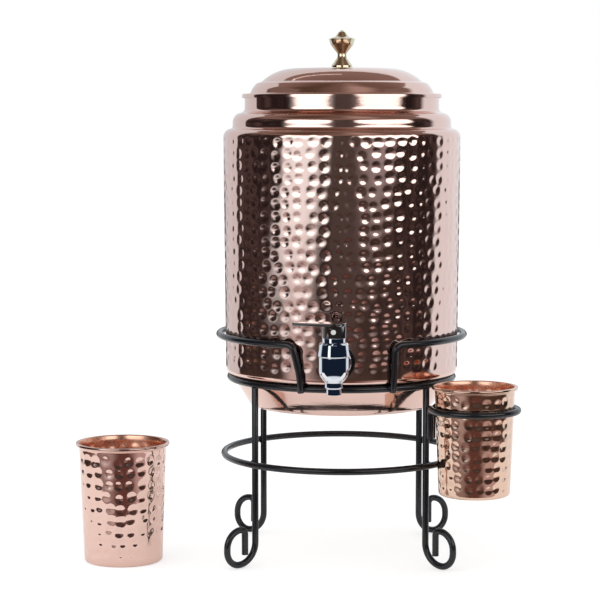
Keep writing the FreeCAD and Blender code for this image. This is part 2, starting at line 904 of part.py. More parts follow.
on_vessel = {
    "vessel_shell": vessel_shell(),
    "vessel_base": vessel_base(),
    "lid_shell": lid_shell(),
    "lid_inner_ring": lid_inner_ring(),
    "knob": knob(),
    "knob_washer": knob_washer(),
    "knob_screw": knob_screw(),
    "tap_body": tap_body(),
    "tap_outer_gasket": tap_outer_gasket(),
    "tap_inner_gasket": tap_inner_gasket(),
    "shank_nut": shank_nut(),
    "bonnet_nut": bonnet_nut(),
    "stem_seal": stem_seal(),
    "swivel_collar": swivel_collar(),
    "valve_stem": valve_stem(),
    "seat_plug": seat_plug(),
    "valve_spring": valve_spring(),
    "lever": lever(),
    "lever_pin": lever_pin(),
}
for shape in on_vessel.values():
    shape.rotate(V(0, 0, 0), UP, vessel_turn)

os.makedirs("parts", exist_ok=True)
for name, shape in {**on_stand, **on_vessel}.items():
    solids = shape.Solids
    volume = sum(s.Volume for s in solids)
    box = shape.BoundBox
    print(f"{name}: {len(solids)} solid, valid {shape.isValid()}, {volume / 1000:.2f} cm3,", end=" ")
    print(f"x {box.XMin:.1f} {box.XMax:.1f} y {box.YMin:.1f} {box.YMax:.1f} z {box.ZMin:.2f} {box.ZMax:.2f}")
    shape.exportStep(f"parts/{name}.step")
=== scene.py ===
# %% [markdown]
# # A copper water dispenser on a wire stand
#
# The object is a hammered copper vessel with a lift-off lid and a lever tap, in a black wire stand with
# scroll feet, and two tumblers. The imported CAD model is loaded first. It fixes where every piece is and
# which body it moves with, so each surface made below is placed from it and never fitted by eye.
#
# Nearly everything here is a mirror, and a mirror shows every facet of a coarse mesh. So the shown pieces
# are made again as fine surfaces, and each one stands for its CAD node, which stays hidden.

# %% Load the frame and keep its box
import json
import math

import bmesh
import bpy
import numpy as np
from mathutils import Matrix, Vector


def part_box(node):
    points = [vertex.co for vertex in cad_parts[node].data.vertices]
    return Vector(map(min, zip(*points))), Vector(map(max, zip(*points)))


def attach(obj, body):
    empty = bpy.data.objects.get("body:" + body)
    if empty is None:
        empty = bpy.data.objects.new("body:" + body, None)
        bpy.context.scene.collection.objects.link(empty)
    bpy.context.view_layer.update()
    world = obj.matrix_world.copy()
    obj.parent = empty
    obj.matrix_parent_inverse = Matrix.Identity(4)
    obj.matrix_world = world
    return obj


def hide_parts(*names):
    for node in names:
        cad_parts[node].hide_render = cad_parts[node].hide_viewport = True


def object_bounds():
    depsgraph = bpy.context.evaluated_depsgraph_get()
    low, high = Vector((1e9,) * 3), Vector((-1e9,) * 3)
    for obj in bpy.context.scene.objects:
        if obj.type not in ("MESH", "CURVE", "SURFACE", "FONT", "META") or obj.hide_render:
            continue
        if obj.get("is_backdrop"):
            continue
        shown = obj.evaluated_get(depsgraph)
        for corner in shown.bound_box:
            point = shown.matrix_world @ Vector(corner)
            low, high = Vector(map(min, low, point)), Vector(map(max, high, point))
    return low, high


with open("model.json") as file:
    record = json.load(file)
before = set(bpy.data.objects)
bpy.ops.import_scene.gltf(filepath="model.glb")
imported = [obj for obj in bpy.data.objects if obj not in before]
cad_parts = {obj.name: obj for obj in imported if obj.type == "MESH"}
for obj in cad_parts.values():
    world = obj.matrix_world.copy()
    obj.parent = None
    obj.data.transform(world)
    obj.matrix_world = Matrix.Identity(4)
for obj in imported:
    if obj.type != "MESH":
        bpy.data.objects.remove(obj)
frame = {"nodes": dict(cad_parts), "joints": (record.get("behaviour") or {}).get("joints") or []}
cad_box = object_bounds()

MM = 0.001
full_turn = 2 * math.pi

# %% [markdown]
# ## Heights and places from the frame
#
# A node's box gives its heights, and a joint gives the tap's axis. Sizes that a box can't give, such as the
# radius of a corner, are written in millimetres beside the piece that needs them, as the CAD source has them.


# %% Read places from the frame
def low(node):
    """Lowest corner of a CAD node, in millimetres."""
    return np.array(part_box(node)[0]) / MM


def high(node):
    """Highest corner of a CAD node, in millimetres."""
    return np.array(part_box(node)[1]) / MM


swivel = next(j for j in frame["joints"] if j["name"] == "handle_swivel")
tap_axis = np.array(swivel["pos_m"][:2] + [0.0]) / MM
vessel_turn = math.atan2(tap_axis[0], -tap_axis[1])
print("tap axis", tap_axis.round(2), "vessel turned", round(math.degrees(vessel_turn), 2), "degrees")

# %% [markdown]
# ## Outlines with round corners
#
# A spun or turned piece is known by its section, and a wire by its path. Either is written as few corners as
# its shape needs, each with a radius, and this helper puts the tangent arc in at each corner. Bezier curves
# could do the same, but an arc is what a spinner's roller, a lathe tool or a bending pin leaves.

# %% Outline helpers
copper_sheet = 1.0


def rounded(corners, turn_step=8.0, least=2):
    """Points along corners of (place, corner radius), flat or in space: straight runs, with a tangent arc at
    each corner. The arc's centre lies on the corner's bisector, at its radius over the cosine of half the turn,
    and the arc has a point at every step of its turn, but no fewer sides than least."""
    corners = np.array(corners, float)
    points = [corners[:1, :-1]]
    for before, corner, after in zip(corners[:-2], corners[1:-1], corners[2:]):
        here, radius = corner[:-1], corner[-1]
        way_in = (here - before[:-1]) / np.linalg.norm(here - before[:-1])
        way_out = (after[:-1] - here) / np.linalg.norm(after[:-1] - here)
        turn = math.acos(np.clip(way_in @ way_out, -1, 1))
        if radius == 0 or turn < 1e-6:
            points.append(here[None])
            continue
        start = here - way_in * radius * math.tan(turn / 2)
        inward = way_out - way_in * (way_in @ way_out)
        inward /= np.linalg.norm(inward)
        count = max(least, round(math.degrees(turn) / turn_step))
        a = np.linspace(0, turn, count + 1)[:, None]
        points.append(start + radius * (np.sin(a) * way_in + (1 - np.cos(a)) * inward))
    points.append(corners[-1:, :-1])
    return np.vstack(points)


def inner_face(outer):
    """Corners of a copper sheet's inner face, run back from the end of its outer face, with the sheet on the
    left of the outer one's way. Each is the outer corner moved along the mitre of its two sides."""
    outer = np.array(outer, float)
    way = np.diff(outer[:, :2], axis=0)
    way /= np.linalg.norm(way, axis=1)[:, None]
    way_in, way_out = np.vstack([way[:1], way]), np.vstack([way, way[-1:]])
    side_in, side_out = (np.stack([-w[:, 1], w[:, 0]], 1) for w in (way_in, way_out))
    mitre = (side_in + side_out) * copper_sheet / (1 + (side_in * side_out).sum(1))[:, None]
    left_turn = way_in[:, 0] * way_out[:, 1] - way_in[:, 1] * way_out[:, 0] > 0
    radius = np.where(left_turn, np.maximum(outer[:, 2] - copper_sheet, 0), outer[:, 2] + copper_sheet)
    return np.column_stack([outer[:, :2] + mitre, np.where(outer[:, 2] > 0, radius, 0)])[::-1]


def spaced(points, step):
    """The same run of points with its long straight runs cut into pieces no longer than step."""
    parts = [points[:1]]
    for a, b in zip(points[:-1], points[1:]):
        count = max(1, math.ceil(np.linalg.norm(b - a) / step))
        parts.append(a + (b - a) * (np.arange(1, count + 1) / count)[:, None])
    return np.vstack(parts)


# %% [markdown]
# ## Meshes from rows of points
#
# A surface of revolution is a stack of rings. Rings with many points are wanted where the copper is
# hammered and few where it is plain, so two neighbouring rings may differ: then each coarse side is joined to
# its fine sides by a small fan, and the mesh stays closed. A pole is a ring of one point.


# %% Faces between rows
def join_rows(first_a, count_a, first_b, count_b):
    """Faces between two closed rows of points, as an array of quads and an array of triangles."""
    if count_a == count_b:
        j = np.arange(count_a)
        k = (j + 1) % count_a
        return np.stack([first_a + j, first_a + k, first_b + k, first_b + j], 1), np.zeros((0, 3), int)
    flip = count_b > count_a
    fine, coarse = (first_b, first_a) if flip else (first_a, first_b)
    many, few = max(count_a, count_b), min(count_a, count_b)
    ratio = many // few
    j = np.repeat(np.arange(few), ratio)
    s = np.tile(np.arange(ratio), few)
    near = np.where(s < (ratio + 1) // 2, j, (j + 1) % few)
    faces = np.stack([fine + j * ratio + s, fine + (j * ratio + s + 1) % many, coarse + near], 1)
    if few > 1:
        j = np.arange(few)
        middle = j * ratio + (ratio + 1) // 2
        fills = np.stack([fine + middle % many, coarse + (j + 1) % few, coarse + j], 1)
        faces = np.vstack([faces, fills])
    return np.zeros((0, 4), int), faces[:, ::-1] if flip else faces


def rows_mesh(rows, closed=False):
    """Points, quads and triangles of rows joined in turn, closed when the last row meets the first."""
    counts = [len(r) for r in rows]
    firsts = np.concatenate([[0], np.cumsum(counts)])
    pairs = [(i, i + 1) for i in range(len(rows) - 1)] + [(len(rows) - 1, 0)] * closed
    parts = [join_rows(firsts[a], counts[a], firsts[b], counts[b]) for a, b in pairs]
    return np.vstack(rows), np.vstack([p[0] for p in parts]), np.vstack([p[1] for p in parts])


# %% Mesh objects
def show(name, data):
    """An object of some data, linked into the scene."""
    thing = bpy.data.objects.new(name, data)
    bpy.context.scene.collection.objects.link(thing)
    return thing


def smooth(mesh, crease):
    """Shades a mesh smooth, creased where faces meet more sharply than the crease angle in degrees."""
    mesh.polygons.foreach_set("use_smooth", np.ones(len(mesh.polygons), bool))
    mesh.set_sharp_from_angle(angle=math.radians(crease))


def put_mesh(name, points, quads, triangles, crease):
    """A smooth mesh object from points in millimetres and the faces between them."""
    mesh = bpy.data.meshes.new(name)
    corners = np.concatenate([quads.ravel(), triangles.ravel()])
    starts = np.concatenate([np.arange(len(quads)) * 4, len(quads) * 4 + np.arange(len(triangles)) * 3])
    mesh.vertices.add(len(points))
    mesh.vertices.foreach_set("co", (np.asarray(points, float) * MM).ravel())
    mesh.loops.add(len(corners))
    mesh.loops.foreach_set("vertex_index", corners.astype(np.int32))
    mesh.polygons.add(len(starts))
    mesh.polygons.foreach_set("loop_start", starts.astype(np.int32))
    mesh.update(calc_edges=True)
    mesh.validate()
    smooth(mesh, crease)
    return show(name, mesh)


def stack_rows(name, rows, closed=False, crease=35.0):
    """A mesh object from rows joined in turn."""
    return put_mesh(name, *rows_mesh(rows, closed), crease)


def turned(name, outline, columns=96, centre=(0, 0, 0), axis=None, closed=False, crease=35.0):
    """A surface of revolution. The outline of (radius, height) runs anticlockwise round its section, so the
    faces point outwards: x = radius cos angle, y = radius sin angle. axis, if given, is where +Z goes."""
    a = np.arange(columns) * full_turn / columns
    circle = np.stack([np.cos(a), np.sin(a), np.zeros(columns)], 1)
    rows = [(circle[:1] * 0 if radius < 1e-6 else radius * circle) + [0, 0, z] for radius, z in outline]
    if axis is not None:
        axis = np.array(axis, float) / np.linalg.norm(axis)
        across = np.cross([0, 0, 1.0], axis)
        across /= np.linalg.norm(across)
        basis = np.stack([across, np.cross(axis, across), axis])
        rows = [r @ basis for r in rows]
    return stack_rows(name, [r + np.array(centre, float) for r in rows], closed, crease)


def dress(piece, body, node, material):
    """Gives a finished piece its material, its body and the CAD node it stands for."""
    piece.data.materials.append(material)
    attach(piece, body)
    if node:
        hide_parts(node)
    print(piece.name, len(piece.data.polygons), "faces")


# %% [markdown]
# ## Nodes in few words
#
# A material is a net of small nodes, and writing each link out hides what it says. So a few short words are
# made first: a node from its inputs, a sum, a soft step, a product of masks, and one colour laid over another.


# %% Node helpers
class Wiring:
    """Short forms for the nodes of a material or a world."""

    def __init__(self, owner):
        owner.use_nodes = True
        self.nodes, self.links = owner.node_tree.nodes, owner.node_tree.links

    def feed(self, socket, value):
        """Links a socket to another or sets its value. A colour is given without its alpha."""
        if isinstance(value, bpy.types.NodeSocket):
            self.links.new(value, socket)
        else:
            socket.default_value = (*value, 1) if socket.type == "RGBA" else value

    def make(self, kind, inputs=(), **settings):
        """Outputs of a new node of this kind, with its settings and its inputs by name or number."""
        node = self.nodes.new("ShaderNode" + kind)
        for key, value in settings.items():
            setattr(node, key, value)
        for key, value in dict(inputs).items():
            self.feed(node.inputs[key], value)
        return node.outputs

    def maths(self, operation, *values):
        """The outcome of one operation on one or two values."""
        return self.make("Math", dict(enumerate(values)), operation=operation)[0]

    def noise(self, scale, detail, place):
        """Soft noise, about a half on average."""
        return self.make("TexNoise", {"Scale": scale, "Detail": detail, "Vector": place})["Fac"]

    def step(self, value, start, end):
        """A soft step: nothing at start and before, one at end and past it."""
        inputs = {"Value": value, "From Min": start, "From Max": end}
        return self.make("MapRange", inputs, interpolation_type="SMOOTHSTEP")["Result"]

    def area(self, *masks):
        """The product of masks: where all of them hold."""
        product = masks[0]
        for mask in masks[1:]:
            product = self.maths("MULTIPLY", product, mask)
        return product

    def lay(self, under, colour, mask):
        """A colour laid over another through a mask."""
        return self.make("Mix", {"Factor": mask, "A": under, "B": colour}, data_type="RGBA")["Result"]

    def either(self, mask, off, on):
        """One of two shaders, by a mask."""
        return self.make("MixShader", {0: mask, 1: off, 2: on})[0]


# %% [markdown]
# ## Finishes
#
# Every finish is worked out in its nodes from Object coordinates, so it stays put when a piece moves.
# Polished metal is a Principled shader at full metallic. What makes it look real is small: roughness that
# wanders a little, fine marks in the bump, and a faint change of colour where the lacquer is thicker.


# %% Material helper
def finish(name, colour, metallic, roughness, marks=(), stretch=(1, 1, 1), shade=0.0, **sockets):
    """A Principled material. roughness is (least, most), spread by a soft noise. marks is a list of
    (scale, depth in metres) noises for the bump, read through stretch. shade darkens the colour in patches,
    and sockets are further inputs by name, with underscores for spaces."""
    material = bpy.data.materials.new(name)
    wires = Wiring(material)
    place = wires.make("TexCoord")["Object"]
    spread = {"From Min": 0.35, "From Max": 0.65, "To Min": roughness[0], "To Max": roughness[1]}
    wander = wires.make("MapRange", {"Value": wires.noise(45, 3, place), **spread})["Result"]
    base = wires.lay(colour, [c * (1 - shade) for c in colour], wires.noise(28, 4, place))
    inputs = {"Base_Color": base, "Metallic": metallic, "Roughness": wander, "Coat_Roughness": 0.05, **sockets}
    stretched = wires.make("Mapping", {"Vector": place, "Scale": stretch})["Vector"]
    for scale, depth in marks:
        under = {"Normal": inputs["Normal"]} if "Normal" in inputs else {}
        height = wires.noise(scale, 2, stretched)
        inputs["Normal"] = wires.make("Bump", {"Distance": depth, "Height": height, **under})["Normal"]
    for key, value in inputs.items():
        wires.feed(wires.nodes["Principled BSDF"].inputs[key.replace("_", " ")], value)
    return material


# %% [markdown]
# Copper that reflects a white sheet looks pale pink, and copper that reflects the dark of the room looks
# deep brown, because light that meets it twice is tinted twice. One base colour gives both. The hammered
# skin gets fine random marks, and the spun parts get marks drawn out round the axis, as a polishing wheel
# leaves them.

# %% Copper, brass, chrome and the rest
copper = (0.84, 0.60, 0.53)
hammer_marks = [(900, 0.00001), (160, 0.00003)]
hammered_copper = finish("hammered_copper", copper, 1, (0.045, 0.085), hammer_marks, shade=0.08)
held_copper = finish("held_copper", (0.84, 0.59, 0.46), 1, (0.05, 0.09), hammer_marks, shade=0.10)
free_copper = finish("free_copper", (0.86, 0.60, 0.52), 1, (0.05, 0.09), hammer_marks, shade=0.10)
copper_lining = finish("copper_lining", (0.88, 0.50, 0.36), 1, (0.22, 0.34), [(160, 0.00003)], shade=0.10)
spun_copper = finish("spun_copper", copper, 1, (0.06, 0.11), [(30, 0.00004)], (1, 1, 14), 0.06)
turned_brass = finish("turned_brass", (0.80, 0.72, 0.50), 1, (0.09, 0.18), [(40, 0.00002)], (1, 1, 20), 0.15)
coat_grain = [(1400, 0.00002), (250, 0.00003)]
black_wire = finish("black_wire", (0.006, 0.008, 0.011), 0, (0.16, 0.26), coat_grain)
bright_chrome = finish("bright_chrome", (0.80, 0.83, 0.88), 1, (0.03, 0.06), [(300, 0.00001)])
gloss = {"Coat_Weight": 1.0, "Coat_IOR": 2.0}
black_plastic = finish("black_plastic", (0.006, 0.006, 0.007), 0, (0.06, 0.10), [(500, 0.00001)], **gloss)
dull = {"Specular_IOR_Level": 0.25}
black_rubber = finish("black_rubber", (0.004, 0.004, 0.005), 0, (0.35, 0.5), [(1800, 0.00003)], **dull)
bright_steel = finish("bright_steel", (0.66, 0.66, 0.67), 1, (0.16, 0.26), [(600, 0.00002)])
matt_steel = finish("matt_steel", (0.88, 0.88, 0.88), 0.3, (0.35, 0.45), [(600, 0.00002)])
plain_brass = finish("plain_brass", (0.72, 0.58, 0.33), 1, (0.20, 0.32), [(400, 0.00003)])
print("thirteen finishes")

# %% [markdown]
# ## Hammer marks
#
# The skin is planished with a round-nosed punch: row on row of shallow round dents, each almost under the
# one above. Drawn as bump alone they would vanish at the outline, so they are pressed into the mesh. The
# depth at a point is worked out for all points at once from the nine nearest places of a regular grid, each
# shifted a little by chance.


# %% Dent field
def dents(around, height, pitch_around, pitch_up, columns, rows, radius, depth, faded, seed):
    """Depth in millimetres at each (angle, height above the first row). A dent is a ball's print: one minus
    distance over radius squared, with its rim softened, and where two prints meet the deeper one counts. Each
    row starts where the last one did, give or take a little. faded is the lowest row's share of the depth."""
    chance = np.random.default_rng(seed)
    phase = chance.uniform(-0.24, 0.24, (rows, 1))
    off_around = np.clip(chance.normal(0, 0.09, (rows, columns)), -0.2, 0.2) + phase
    off_up = np.clip(chance.normal(0, 0.08, (rows, columns)), -0.2, 0.2) + chance.normal(0, 0.05, (1, columns))
    deep = depth * chance.uniform(0.62, 1.2, (rows, columns)) * np.linspace(faded, 1, rows)[:, None]
    wide = radius * chance.uniform(0.86, 1.06, (rows, columns))
    cell_around = around / full_turn * columns
    cell_up = height / pitch_up
    total = np.zeros(np.broadcast(around, height).shape)
    for step_up in (-1, 0, 1):
        for step_around in (-1, 0, 1):
            row = np.rint(cell_up).astype(int) + step_up
            column = np.rint(cell_around).astype(int) + step_around
            inside = (row >= 0) & (row < rows)
            r = np.clip(row, 0, rows - 1)
            c = column % columns
            away_around = (cell_around - column - off_around[r, c]) * pitch_around
            away_up = (cell_up - row - off_up[r, c]) * pitch_up
            share = 1 - (away_around**2 + away_up**2) / wide[r, c] ** 2
            print_depth = np.maximum(0.5 * (share + np.sqrt(share**2 + 0.02)) - 0.008, 0) * deep[r, c]
            total = np.maximum(total, np.where(inside, print_depth, 0))
    return total


# %% [markdown]
# ## The vessel's skin
#
# The body, its shoulder, the step and the neck are one sheet, spun over a former. Its outer face is a fine
# grid with eight points to a dent. Above the shoulder the copper is plain, so half as many points are
# enough, and inside a quarter.

# %% Vessel section
body_base = low("vessel_shell")[2]
neck_top = high("vessel_shell")[2]
body_bottom_radius = 98.4
body_top_radius = 100.2
body_height = 206.05
body_opening_radius = 91.2
step_radius = 92.3
neck_radius = 82.1
shoulder = body_base + body_height
step_bottom = shoulder + 1.6
step_top = step_bottom + 11.4
neck_bottom = step_top + 2.4
body_outer = [
    (body_opening_radius, body_base, 0),
    (body_bottom_radius, body_base, 5.0),
    (body_top_radius, shoulder, 7.0),
    (step_radius, step_bottom, 2.5),
    (step_radius, step_top, 8.0),
    (neck_radius, neck_bottom, 4.0),
    (neck_radius, neck_top, 0),
]
print("vessel section of", len(body_outer), "corners,", round(float(neck_top - body_base), 1), "mm high")


# %% Hammered sheet
def hammered(outer, inner, first, marks, lined=False):
    """Rings of a sheet with dents on its outer face, from the height of the first row up. Where the wall is
    steep and a dent is near, a ring has eight points a dent, elsewhere half or a quarter as many. lined
    carries the dents through to the inside."""
    dent_points = 8
    columns, rows, pitch_up = marks["columns"], marks["rows"], marks["pitch_up"]
    skin = spaced(rounded(np.vstack([outer, inner[:1]]), 9.0), pitch_up / dent_points)
    lining = rounded(inner, 12.0)
    if lined:
        lining = spaced(lining, pitch_up / dent_points)
    points = []
    for run, thickness in ((skin, 0), (lining[1:], copper_sheet)):
        slope = np.gradient(run, axis=0)
        steep = np.abs(slope[:, 1]) / np.hypot(slope[:, 0], slope[:, 1])
        weight = np.clip((steep - 0.5) / 0.45, 0, 1)
        up = run[:, 1] - first
        near = (weight > 0) & (up > -0.8 * pitch_up) & (up < (rows - 0.2) * pitch_up)
        for (radius, z), share, dented in zip(run, weight, near & (lined or not thickness)):
            if radius < 1e-6:
                points.append(np.array([[0, 0, z]]))
                continue
            count = columns * dent_points // (1 if dented or lined else 4 if thickness else 2)
            around = np.arange(count) * full_turn / count
            out = np.full(count, radius)
            if dented:
                pitch_around = full_turn * (radius + thickness) / columns
                out -= share * dents(around, z - first, pitch_around, **marks)
            points.append(np.stack([out * np.sin(around), -out * np.cos(around), np.full(count, z)], 1))
    return points


def spin(points, angle):
    """Points turned about the upright axis."""
    c, s = math.cos(angle), math.sin(angle)
    return points @ np.array([[c, s, 0], [-s, c, 0], [0, 0, 1]])


# %% Vessel body
first_row = body_base + 15.0
body_marks = dict(columns=59, rows=19, pitch_up=10.15, radius=4.1, depth=0.54, faded=1, seed=11)
rings = [spin(r, vessel_turn) for r in hammered(body_outer, inner_face(body_outer), first_row, body_marks)]
vessel_body = stack_rows("vessel_body", rings, closed=True, crease=60)
dress(vessel_body, "vessel", "vessel_shell", hammered_copper)

# %% [markdown]
# ## The pan under the body
#
# The bottom is a smooth pressed pan. It hangs in the body's lower opening by its flange, and it is what one
# sees glowing pale between the legs, because it faces the white table.

# %% Base pan
pan_floor = low("vessel_base")[2]
pan_seam = high("vessel_base")[2] - copper_sheet
pan_outer = [
    (0, pan_floor, 0),
    (77.5, pan_floor, 6.0),
    (91.0, pan_seam - 6.0, 12.0),
    (91.0, pan_seam, 0),
    (93.2, pan_seam, 0),
]
pan_section = np.vstack([rounded(pan_outer, 5.0), rounded(inner_face(pan_outer), 10.0)])
vessel_pan = turned("vessel_pan", spaced(pan_section, 4.0), 240)
dress(vessel_pan, "vessel", "vessel_base", spun_copper)

# %% [markdown]
# ## The lid
#
# The lid is spun too: a flange with a turned-down lip, a rounded side, a soft crease, and a low dome that
# carries the knob. All its curves are tangent arcs, so its reflections flow.

# %% Lid
lid_seat = neck_top + 0.3
lid_flange = lid_seat + copper_sheet
lid_top = low("knob")[2]
lid_outer = [
    (84.4, lid_flange - 3.5, 0),
    (84.4, lid_flange, 1.4),
    (77.7, lid_flange, 0.9),
    (75.6, lid_flange + 4.6, 12.0),
    (72.1, lid_flange + 8.9, 5.0),
    (67.8, lid_flange + 10.1, 1.0),
    (55.5, lid_flange + 20.8, 40.0),
    (12.0, lid_top, 0),
    (2.55, lid_top, 0),
]
lid_section = np.vstack([rounded(lid_outer, 4.0), rounded(inner_face(lid_outer), 8.0)])
vessel_lid = turned("vessel_lid", spaced(lid_section, 3.0), 240, closed=True)
dress(vessel_lid, "lid", "lid_shell", spun_copper)

# %% Ring inside the lid
ring_low = low("lid_inner_ring")[2]
ring_section = [(79.4, ring_low), (80.4, ring_low), (80.4, lid_seat), (79.4, lid_seat)]
lid_ring = turned("lid_ring", ring_section, 160, closed=True)
dress(lid_ring, "lid", "lid_inner_ring", spun_copper)

# %% [markdown]
# ## The knob
#
# The finial is turned from brass bar: a foot, a thin waist, a cup with a sharp brim, and a small pointed cap.
# It is the one golden spot on the object, and an aged one, so its brass is nearer to bronze.

# %% Knob
knob_outline = [
    (0, lid_top, 0),
    (8.9, lid_top, 0.3),
    (8.9, lid_top + 1.6, 0.6),
    (3.8, lid_top + 8.6, 6.0),
    (3.8, lid_top + 11.8, 2.5),
    (9.5, lid_top + 19.2, 6.0),
    (11.1, lid_top + 24.0, 0.3),
    (5.4, lid_top + 26.0, 0.6),
    (3.2, lid_top + 29.4, 2.2),
    (0, high("knob")[2], 0),
]
brass_knob = turned("brass_knob", rounded(knob_outline, 6.0), crease=50)
dress(brass_knob, "lid", "knob", turned_brass)

# %% [markdown]
# ## Wire
#
# The stand is mild steel wire, bent and welded, with a black powder coat. Each wire is a circle carried along
# a path of straight runs and arcs. The circle's frame is carried without twist: at each point the last side
# vector is laid flat on the new cross-section.

# %% Wire helpers
wire_radius = 2.75


def bent(corners):
    """A wire's path along corners of (x, y, z, bend radius)."""
    return rounded(corners, 7.0, 3)


def arc(centre, start, angle, turn_step=3.0):
    """Points on a level arc about a centre, from a start point through an angle, anticlockwise from above."""
    reach = np.array(start, float) - centre
    count = max(2, round(abs(math.degrees(angle)) / turn_step))
    a = np.linspace(0, angle, count + 1)
    x = reach[0] * np.cos(a) - reach[1] * np.sin(a)
    y = reach[0] * np.sin(a) + reach[1] * np.cos(a)
    return np.stack([centre[0] + x, centre[1] + y, np.full(count + 1, start[2])], 1)


def compass(radius, angle, z):
    """The point at a radius and height, its angle in degrees turned from the back (+Y) towards +X."""
    a = math.radians(angle)
    return np.array([radius * math.sin(a), radius * math.cos(a), z])


def along_path(path, closed):
    """Unit vectors along a path, and a unit side vector at each point, carried without twist."""
    if closed:
        ahead = np.roll(path, -1, 0) - path
        tangent = ahead + np.roll(ahead, 1, 0)
    else:
        tangent = np.gradient(path, axis=0)
        tangent[0] = path[1] - path[0]
        tangent[-1] = path[-1] - path[-2]
    tangent /= np.linalg.norm(tangent, axis=1)[:, None]
    side = np.cross(tangent[0], [0.31, 0.17, 0.93])
    sides = []
    for t in tangent:
        side = side - t * (side @ t)
        side /= np.linalg.norm(side)
        sides.append(side)
    return tangent, np.array(sides)


# %% Wire
def wire(name, path, closed=False):
    """A round wire along a path: point = path + radius (side cos a + other side sin a), its open ends closed
    by a low rounded cap of two smaller rings and a pole."""
    corners = 20
    cap_shares, cap_rise, end_set_in = (0.75, 0.95), 0.18, 0.10
    path = path[np.concatenate([[True], np.linalg.norm(np.diff(path, axis=0), axis=1) > 1e-4])]
    tangent, side = along_path(path, closed)
    other = np.cross(tangent, side)
    a = (np.arange(corners) * full_turn / corners)[None, :, None]
    ring = wire_radius * (side[:, None] * np.cos(a) + other[:, None] * np.sin(a))
    rows = list(path[:, None] + ring)
    if closed:
        return stack_rows(name, rows, closed=True, crease=60)

    def cap(i, inward):
        rows[i] = rows[i] + end_set_in * inward
        return [path[i] + cap_rise * (1 - share) * inward + share * ring[i] for share in cap_shares]

    first, last = cap(0, wire_radius * tangent[0]), cap(-1, -wire_radius * tangent[-1])
    return stack_rows(name, [path[:1], *first, *rows, *last[::-1], path[-1:]], crease=60)


def dress_wire(node, path, closed=False):
    """The black wire of a CAD node of the stand."""
    dress(wire(node + "_wire", path, closed), "stand", node, black_wire)


# %% [markdown]
# ## Rings and legs
#
# Two closed rings tie four legs. Each leg is one wire that ends in a scroll: out along the floor, up, back over
# and down again. The legs stand and point at slightly different angles, as hand-welded ones do.

# %% Rings
weld_bite = 0.15
support_ring_radius = 94.8
support_ring_height = high("support_ring")[2] - wire_radius
lower_ring_radius = support_ring_radius + 2 * wire_radius - weld_bite
lower_ring_height = high("lower_ring")[2] - wire_radius
for node, radius, z in (
    ("support_ring", support_ring_radius, support_ring_height),
    ("lower_ring", lower_ring_radius, lower_ring_height),
):
    dress_wire(node, arc(np.array([0, 0, z]), [radius, 0, z], full_turn)[:-1], closed=True)

# %% Legs
legs = {
    "front_left": (229.9, 229.9),
    "front_right": (133.7, 133.7),
    "back_left": (-45.6, -54.0),
    "back_right": (47.9, 57.0),
}
foot_length = 29.6
foot_height = 29.05
foot_bend = 17.3
tail_offset = 11.0
tail_bend = 4.3
tail_drop = 17.0
leg_top = support_ring_height - wire_radius + weld_bite
crown = wire_radius + foot_height
scroll = [
    (0, leg_top, 0),
    (0, wire_radius, foot_bend),
    (foot_length, wire_radius, foot_length - foot_bend),
    (foot_length, crown, foot_length - tail_offset - tail_bend),
    (tail_offset, crown, tail_bend),
    (tail_offset, crown - tail_bend - tail_drop, 0),
]
for name, (angle, heading) in legs.items():
    post = compass(support_ring_radius, angle, 0)
    dress_wire("leg_" + name, bent([(*(post + compass(u, heading, z)), bend) for u, z, bend in scroll]))

# %% [markdown]
# ## The guard hoop and the holder
#
# The hoop runs round the vessel's waist and bends down into two posts, one each side of the tap. The
# holder is one wire too: up beside the front right leg, out, round the tumbler, and back down the leg's
# other side.

# %% Guard hoop
hoop_radius = 104.0
hoop_height = support_ring_height + 36.5
left_tip, right_tip = -20.4, 23.6


def hoop_post(top_angle, tip_angle, side):
    """Corners of one post, from the hoop's end down to its tip below the support ring."""
    lead = 8.5
    knee_out, knee_up, tip_down = 2.2, 11.5, 2.4
    end_angle = top_angle + side * math.degrees(math.atan2(lead, hoop_radius))
    end = compass(hoop_radius, 180 - end_angle, hoop_height)
    turn = math.radians(end_angle)
    along = np.array([math.cos(turn), math.sin(turn), 0]) * -side
    contact = support_ring_radius + 2 * wire_radius - weld_bite
    knee = compass(contact + knee_out, 180 - tip_angle, support_ring_height + knee_up)
    tip = compass(contact - knee_out / knee_up * tip_down, 180 - tip_angle, support_ring_height - tip_down)
    return [(*end, 0), (*(end + along * lead), 6.5), (*knee, 40.0), (*tip, 0)]


left_post = bent(hoop_post(-23.6, left_tip, -1))
right_post = bent(hoop_post(23.5, right_tip, 1))
start, end = left_post[0], right_post[0]
sweep_angle = math.atan2(end[1], end[0]) - math.atan2(start[1], start[0])
sweep = arc(np.array([0, 0, hoop_height]), start, sweep_angle - (full_turn if sweep_angle > 0 else 0))
dress_wire("guard_hoop", np.vstack([left_post[::-1], sweep[1:-1], right_post]))

